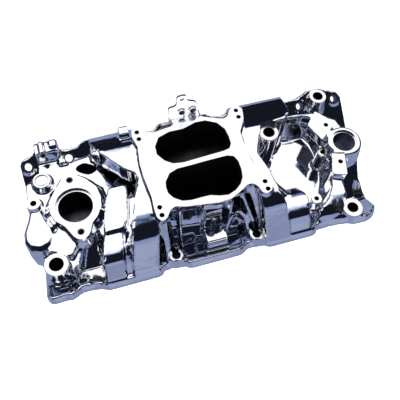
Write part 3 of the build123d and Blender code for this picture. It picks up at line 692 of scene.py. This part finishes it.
def bolt_tree():
    """Geometry nodes: a hexagon bolt with its chamfer and collar, one at every point, facing away from +Y."""
    tree = bpy.data.node_groups.new("hexagon_bolts", "GeometryNodeTree")
    tree.interface.new_socket("Geometry", in_out="INPUT", socket_type="NodeSocketGeometry")
    for name in ("Across Corners", "Head Height", "Shank Radius", "Shank Length"):
        tree.interface.new_socket(name, in_out="INPUT", socket_type="NodeSocketFloat")
    tree.interface.new_socket("Metal", in_out="INPUT", socket_type="NodeSocketMaterial")
    tree.interface.new_socket("Geometry", in_out="OUTPUT", socket_type="NodeSocketGeometry")
    link = tree.links.new
    inputs = tree.nodes.new("NodeGroupInput")
    outputs = tree.nodes.new("NodeGroupOutput")

    def scaled(socket, factor):
        times = tree.nodes.new("ShaderNodeMath")
        times.operation = "MULTIPLY"
        link(inputs.outputs[socket], times.inputs[0])
        times.inputs[1].default_value = factor
        return times.outputs[0]

    def frustum(sides, bottom, top, depth, lift):
        cone = tree.nodes.new("GeometryNodeMeshCone")
        cone.inputs["Vertices"].default_value = sides
        link(top, cone.inputs["Radius Top"])
        link(bottom, cone.inputs["Radius Bottom"])
        link(depth, cone.inputs["Depth"])
        shift = tree.nodes.new("GeometryNodeTransform")
        along = tree.nodes.new("ShaderNodeCombineXYZ")
        link(lift, along.inputs["Z"])
        link(cone.outputs["Mesh"], shift.inputs["Geometry"])
        link(along.outputs[0], shift.inputs["Translation"])
        return shift.outputs[0]

    def total(first, second, negate=False):
        plus = tree.nodes.new("ShaderNodeMath")
        plus.operation = "SUBTRACT" if negate else "ADD"
        link(first, plus.inputs[0])
        link(second, plus.inputs[1])
        return plus.outputs[0]

    zero = tree.nodes.new("ShaderNodeValue")
    zero.outputs[0].default_value = 0.0
    join = tree.nodes.new("GeometryNodeJoinGeometry")
    wide = scaled("Across Corners", 0.5)
    collar = scaled("Head Height", 0.12)
    hexagon = scaled("Head Height", 0.70)
    chamfer = scaled("Head Height", 0.18)
    flat = scaled("Across Corners", 0.433)
    link(frustum(48, flat, flat, collar, zero.outputs[0]), join.inputs[0])
    link(frustum(6, wide, wide, hexagon, collar), join.inputs[0])
    link(frustum(6, wide, flat, chamfer, total(collar, hexagon)), join.inputs[0])
    link(frustum(32, scaled("Shank Radius", 1), scaled("Shank Radius", 1), inputs.outputs["Shank Length"],
                 scaled("Shank Length", -1)), join.inputs[0])
    stand = tree.nodes.new("GeometryNodeInstanceOnPoints")
    stand.inputs["Rotation"].default_value = (math.radians(90), 0, 0)
    realize = tree.nodes.new("GeometryNodeRealizeInstances")
    coat = tree.nodes.new("GeometryNodeSetMaterial")
    link(inputs.outputs["Geometry"], stand.inputs["Points"])
    link(join.outputs[0], stand.inputs["Instance"])
    link(stand.outputs[0], realize.inputs[0])
    link(realize.outputs[0], coat.inputs["Geometry"])
    link(inputs.outputs["Metal"], coat.inputs["Material"])
    link(coat.outputs[0], outputs.inputs[0])
    return tree


def nodes_piece(name, points, tree, values, node_names):
    """Runs a geometry-nodes tree over a few points and keeps the result as a plain piece."""
    mesh = bpy.data.meshes.new(name)
    mesh.from_pydata([Vector(point) * mm for point in points], [], [])
    piece = bpy.data.objects.new(name, mesh)
    scene.collection.objects.link(piece)
    live = piece.modifiers.new("pattern", "NODES")
    live.node_group = tree
    sockets = {item.name: item.identifier for item in tree.interface.items_tree if item.in_out == "INPUT"}
    for key, value in values.items():
        live[sockets[key]] = value
    bake_modifiers(piece)
    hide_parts(*node_names)
    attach(piece, "root")
    return piece


bolt_nodes = ["bracket_bolt_front", "bracket_bolt_rear"]
seat_y = box_middle("bracket_washer_front")[1].y
bolt_places = [(box_middle(name)[0].x, seat_y, box_middle(name)[0].z) for name in bolt_nodes]
bolt_sizes = {"Across Corners": 0.0100, "Head Height": 0.0040, "Shank Radius": 0.0029, "Shank Length": 0.0110,
              "Metal": zinc}
nodes_piece("bracket_bolts", bolt_places, bolt_tree(), bolt_sizes, bolt_nodes)
for name in ("bracket_washer_front", "bracket_washer_rear"):
    middle, lowest, highest = box_middle(name)
    outer = (highest.z - lowest.z) / 2
    washer_profile = [(3.2, 0.1), (3.3, 0), (outer - 0.25, 0), (outer, 0.25), (outer, 0.95), (outer - 0.25, 1.2),
                      (3.3, 1.2), (3.2, 1.1), (3.2, 0.1)]
    place_piece(turned(washer_profile, (middle.x, lowest.y, middle.z), 48, (0, 1, 0)),
                name + "_turned", zinc, [name])

# ---- remaining small parts ---------------------------------------------------------------------
# The choke cover and its gasket, the splash shield, the cup plugs and the thread inserts keep their
# frame shapes and take the finish of their own metal.
fibre = finish_of("gasket_fibre", light=(0.17, 0.16, 0.15), dark=(0.11, 0.10, 0.10),
                  rough=(0.7, 0.85), ripple=200, grain_scale=2500, grain=0.8, bump=(0.5, 0.0003), metallic=0.0)
cover_sheet = finish_of("cover_sheet", light=(0.86, 0.86, 0.88), dark=(0.78, 0.78, 0.80),
                        rough=(0.05, 0.12), ripple=50, grain_scale=1500, grain=0.3, bump=(0.3, 0.0006))
shield_steel = finish_of("shield_steel", light=(0.56, 0.55, 0.53), dark=(0.40, 0.39, 0.38),
                         rough=(0.32, 0.5), ripple=50, grain_scale=1800, grain=0.5, bump=(0.4, 0.0005))
cup_zinc = finish_of("cup_zinc", light=(0.62, 0.61, 0.58), dark=(0.48, 0.46, 0.42),
                     rough=(0.3, 0.45), ripple=60, grain_scale=1500, grain=0.5, bump=(0.4, 0.0004))
brass = finish_of("brass", light=(0.74, 0.58, 0.30), dark=(0.55, 0.40, 0.18),
                  rough=(0.22, 0.38), ripple=60, grain_scale=1500, grain=0.4, bump=(0.3, 0.0004))
insert_steel = finish_of("insert_steel", light=(0.45, 0.45, 0.47), dark=(0.35, 0.35, 0.37),
                         rough=(0.25, 0.4), ripple=90, grain_scale=1800, grain=0.5, bump=(0.3, 0.0003))
small_parts = {"choke_gasket": fibre, "choke_cover": cover_sheet, "choke_screw_upper": zinc,
               "choke_screw_lower": zinc, "splash_shield": shield_steel, "shield_rivets": zinc,
               "crossover_plug_near": cup_zinc, "crossover_plug_far": cup_zinc, "water_plug_near": brass,
               "water_plug_far": brass, "vacuum_plug": brass, "thermostat_insert_near": insert_steel,
               "thermostat_insert_far": insert_steel}
for name, metal in small_parts.items():
    for slot in nodes[name].material_slots:
        slot.material = metal

# ---- floor and light -----------------------------------------------------------------
# A white table. The polished metal sees a dim lavender card in its place, a glowing painted reflection that only
# glossy rays meet, so that it doesn't burn out.
low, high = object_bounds()
floor_mesh = bpy.data.meshes.new("floor")
floor_mesh.from_pydata([(-4, -4, low.z), (4, -4, low.z), (4, 4, low.z), (-4, 4, low.z)], [], [(0, 1, 2, 3)])
floor = bpy.data.objects.new("floor", floor_mesh)
scene.collection.objects.link(floor)
floor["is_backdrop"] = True
floor_paint = bpy.data.materials.new("floor_white")
floor_paint.use_nodes = True
tree = floor_paint.node_tree
tree.nodes.clear()
paint = tree.nodes.new("ShaderNodeBsdfDiffuse")
paint.inputs["Color"].default_value = (0.93, 0.93, 0.94, 1)
# Painted reflection: a lavender emission that glossy rays see in place of the white floor.
floor_reflection_painted = tree.nodes.new("ShaderNodeEmission")
floor_reflection_painted.inputs["Color"].default_value = (0.25, 0.29, 0.45, 1)
floor_reflection_painted.inputs["Strength"].default_value = 1.0
lit = tree.nodes.new("ShaderNodeEmission")
lit.inputs["Color"].default_value = (1, 1, 1, 1)
lit.inputs["Strength"].default_value = 0.74
table = tree.nodes.new("ShaderNodeAddShader")
path = tree.nodes.new("ShaderNodeLightPath")
either = tree.nodes.new("ShaderNodeMixShader")
surface = tree.nodes.new("ShaderNodeOutputMaterial")
tree.links.new(path.outputs["Is Glossy Ray"], either.inputs["Fac"])
tree.links.new(paint.outputs[0], table.inputs[0])
tree.links.new(lit.outputs[0], table.inputs[1])
tree.links.new(table.outputs[0], either.inputs[1])
tree.links.new(floor_reflection_painted.outputs[0], either.inputs[2])
tree.links.new(either.outputs[0], surface.inputs["Surface"])
floor_mesh.materials.append(floor_paint)

# A soft lamp on the near side lights the matt pieces; the mirror finishes don't see it.
fill_lamp = bpy.data.lights.new("fill", "AREA")
fill_lamp.shape = "DISK"
fill_lamp.size = 0.9
fill_lamp.energy = 26
fill = bpy.data.objects.new("fill", fill_lamp)
fill_at = Vector((-0.25, -0.9, 0.75))
fill.location = fill_at
fill.rotation_mode = "QUATERNION"
fill.rotation_quaternion = fill_at.to_track_quat("Z", "Y")
fill.visible_glossy = False
scene.collection.objects.link(fill)

# The studio round the table: a broad white box over the far side, black overhead and in front,
# a dim lavender wall low on the near side, dark flanks at both ends, and plain white to the camera.
studio = bpy.data.worlds.new("studio")
scene.world = studio
studio.use_nodes = True
tree = studio.node_tree
tree.nodes.clear()
where = tree.nodes.new("ShaderNodeTexCoord")
split = tree.nodes.new("ShaderNodeSeparateXYZ")
angle = tree.nodes.new("ShaderNodeMath")
angle.operation = "ARCTAN2"
share = tree.nodes.new("ShaderNodeMath")
share.operation = "MULTIPLY"
share.inputs[1].default_value = 1 / math.pi
bands = tree.nodes.new("ShaderNodeValToRGB")
glow = tree.nodes.new("ShaderNodeBackground")
sky = tree.nodes.new("ShaderNodeOutputWorld")
tree.links.new(where.outputs["Generated"], split.inputs[0])
tree.links.new(split.outputs["Z"], angle.inputs[0])
tree.links.new(split.outputs["Y"], angle.inputs[1])
tree.links.new(angle.outputs[0], share.inputs[0])
tree.links.new(share.outputs[0], bands.inputs["Fac"])
sides = tree.nodes.new("ShaderNodeMath")
sides.operation = "ABSOLUTE"
edge_on = tree.nodes.new("ShaderNodeMapRange")
edge_on.inputs["From Min"].default_value = 0.62
edge_on.inputs["From Max"].default_value = 0.72
flanks = tree.nodes.new("ShaderNodeMix")
flanks.data_type = "RGBA"
flanks.inputs["B"].default_value = (0.012, 0.014, 0.03, 1)
tree.links.new(split.outputs["X"], sides.inputs[0])
tree.links.new(sides.outputs[0], edge_on.inputs["Value"])
tree.links.new(edge_on.outputs[0], flanks.inputs["Factor"])
tree.links.new(bands.outputs["Color"], flanks.inputs["A"])
tree.links.new(flanks.outputs["Result"], glow.inputs["Color"])
plain = tree.nodes.new("ShaderNodeBackground")
plain.inputs["Color"].default_value = (1, 1, 1, 1)
seen = tree.nodes.new("ShaderNodeLightPath")
choose = tree.nodes.new("ShaderNodeMixShader")
tree.links.new(seen.outputs["Is Camera Ray"], choose.inputs["Fac"])
tree.links.new(glow.outputs[0], choose.inputs[1])
tree.links.new(plain.outputs[0], choose.inputs[2])
tree.links.new(choose.outputs[0], sky.inputs["Surface"])
glow.inputs["Strength"].default_value = 1.35
# degrees up from the far horizon, over the top, to the near one
stops = [(0, (0.23, 0.27, 0.40)), (7, (0.16, 0.19, 0.32)), (10, (0.006, 0.007, 0.012)),
         (35, (0.006, 0.007, 0.012)), (39, (0.17, 0.22, 0.42)), (44, (1, 1, 1)), (74, (1, 1, 1)),
         (80, (0.17, 0.22, 0.42)), (83, (0.006, 0.007, 0.012)), (137, (0.006, 0.007, 0.012)),
         (140, (0.17, 0.21, 0.36)), (160, (0.22, 0.26, 0.42)), (180, (0.26, 0.29, 0.41))]
ramp = bands.color_ramp
while len(ramp.elements) < len(stops):
    ramp.elements.new(0.5)
for element, (degrees, colour) in zip(ramp.elements, stops):
    element.position = degrees / 180
for element, (degrees, colour) in zip(ramp.elements, stops):
    element.color = (*colour, 1)
scene.view_settings.view_transform = "Standard"

low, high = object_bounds()
